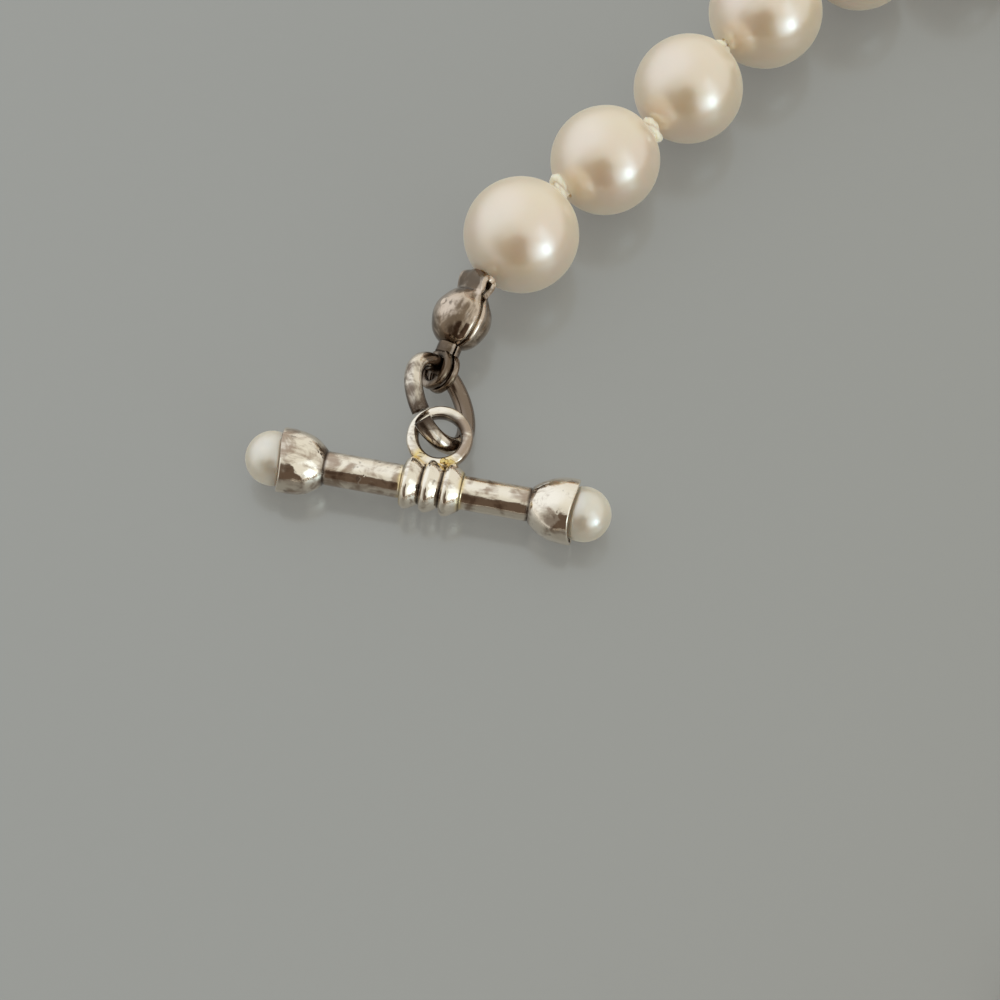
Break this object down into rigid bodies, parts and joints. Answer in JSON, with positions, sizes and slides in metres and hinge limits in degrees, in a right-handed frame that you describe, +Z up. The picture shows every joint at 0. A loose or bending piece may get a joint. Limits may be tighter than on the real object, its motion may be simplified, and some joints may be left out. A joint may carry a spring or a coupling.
{
  "type": "pearl bracelet with toggle clasp",
  "caption": "Knotted pearl bracelet, unfastened and lying in an open bend, with a toggle bar and ring clasp whose bar has a small pearl in a cup at each end.",
  "frame": {"origin": "middle of the bounding box, on the surface that the bracelet lies on", "axes": "+Z up from that surface; +Y along the longer side of the open bend, from the toggle ring to the strand's far turn; +X to the right seen from above, away from the toggle bar"},
  "size_m": [0.0688, 0.1024, 0.0072],
  "materials": {
    "pearl": "nacre: smooth and softly lustrous, cream with a faint rose overtone",
    "silver": "polished silver, worn and uneven, with a warm light tarnish and pale gold solder",
    "tarnished_silver": "polished silver under an even grey-brown tarnish",
    "silk": "twisted cream silk thread, a little glossy"
  },
  "bodies": {
    "root": {"pearl_01": "pearl", "pearl_02": "pearl", "pearl_03": "pearl", "pearl_04": "pearl", "pearl_05": "pearl", "pearl_06": "pearl", "pearl_07": "pearl", "pearl_08": "pearl", "pearl_09": "pearl", "pearl_10": "pearl", "pearl_11": "pearl", "pearl_12": "pearl", "pearl_13": "pearl", "pearl_14": "pearl", "pearl_15": "pearl", "pearl_16": "pearl", "pearl_17": "pearl", "pearl_18": "pearl", "pearl_19": "pearl", "pearl_20": "pearl", "end_pearl_left": "pearl", "end_pearl_right": "pearl", "silk_thread": "silk", "toggle_bar": "silver", "toggle_ring": "silver", "jump_ring_bar": "silver", "jump_ring_ring": "silver", "bead_tip_bar": "tarnished_silver", "bead_tip_ring": "tarnished_silver"}
  },
  "joints": []
}
